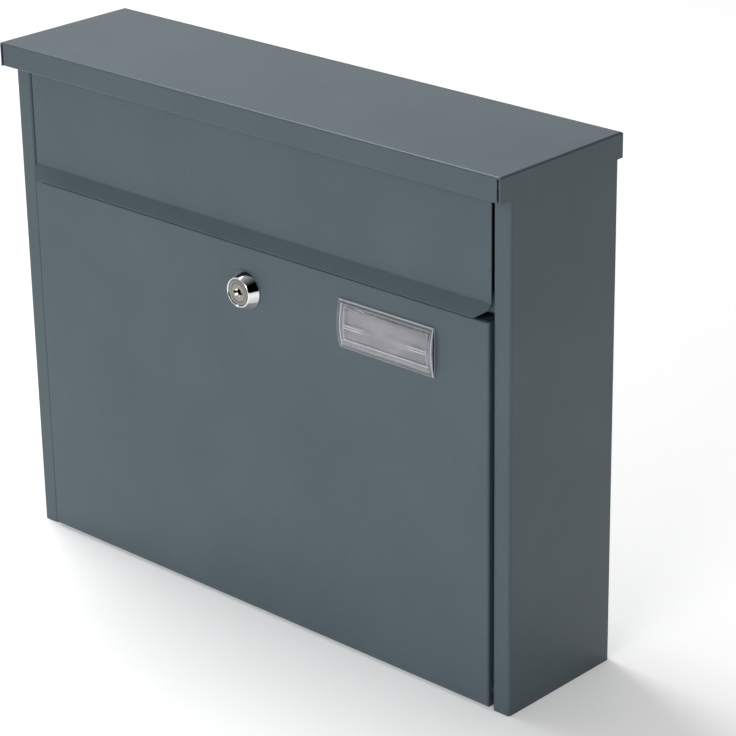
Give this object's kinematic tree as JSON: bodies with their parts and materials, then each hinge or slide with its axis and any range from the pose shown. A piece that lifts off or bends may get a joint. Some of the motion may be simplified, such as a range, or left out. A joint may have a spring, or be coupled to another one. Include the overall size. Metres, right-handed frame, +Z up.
{
  "type": "wall mounted mailbox",
  "caption": "Shallow folded steel letter box for a wall, with an overhanging roof cap, a top hinged letter flap, a drop down door with a cam lock and a name plate.",
  "frame": {"origin": "middle of the four wall screw holes, on the wall plane", "axes": "+X to the right of someone facing the box, +Y into the wall, +Z up"},
  "size_m": [0.362, 0.0936, 0.294],
  "materials": {
    "painted_steel": "fine textured satin powder coat, anthracite grey",
    "chrome": "polished chrome plate",
    "satin_nickel": "satin nickel plate",
    "zinc_steel": "bright zinc plate",
    "brass": "stamped brass",
    "rubber": "moulded black rubber",
    "nylon": "black nylon",
    "clear_plastic": "clear moulded plastic",
    "grey_plastic": "moulded grey plastic",
    "card": "blank silver grey card"
  },
  "bodies": {
    "case": {"side_panel_left": "painted_steel", "side_panel_right": "painted_steel", "back_panel": "painted_steel", "floor_tray": "painted_steel", "roof_cap": "painted_steel", "keeper_rail": "painted_steel", "flap_buffers": "rubber", "door_buffers": "rubber", "flap_hinge_rod": "zinc_steel", "flap_rod_caps": "zinc_steel", "door_pin_left": "zinc_steel", "door_pin_right": "zinc_steel", "door_pin_washers": "nylon"},
    "flap": {"letter_flap": "painted_steel"},
    "door": {"door_panel": "painted_steel", "lock_collar": "chrome", "lock_housing": "satin_nickel", "lock_star_washer": "zinc_steel", "lock_nut": "zinc_steel", "nameplate_cover": "clear_plastic", "nameplate_base": "grey_plastic", "name_card": "card", "nameplate_clips": "zinc_steel"},
    "lock_core": {"lock_plug": "satin_nickel", "lock_wafers": "brass", "cam_stop_plate": "zinc_steel", "lock_cam": "zinc_steel", "cam_spring_washer": "zinc_steel", "cam_screw": "zinc_steel"}
  },
  "joints": [
    {"name": "flap_hinge", "type": "hinge", "parent": "case", "child": "flap", "pos_m": [0, -0.08082, 0.134], "axis": [-1, 0, 0], "range_deg": [0, 55]},
    {"name": "door_hinge", "type": "hinge", "parent": "case", "child": "door", "pos_m": [0, -0.0796, -0.139], "axis": [1, 0, 0], "range_deg": [0, 95]},
    {"name": "cam_turn", "type": "hinge", "parent": "door", "child": "lock_core", "pos_m": [-0.0012, -0.0918, 0.04007], "axis": [0, -1, 0], "range_deg": [0, 90]}
  ]
}
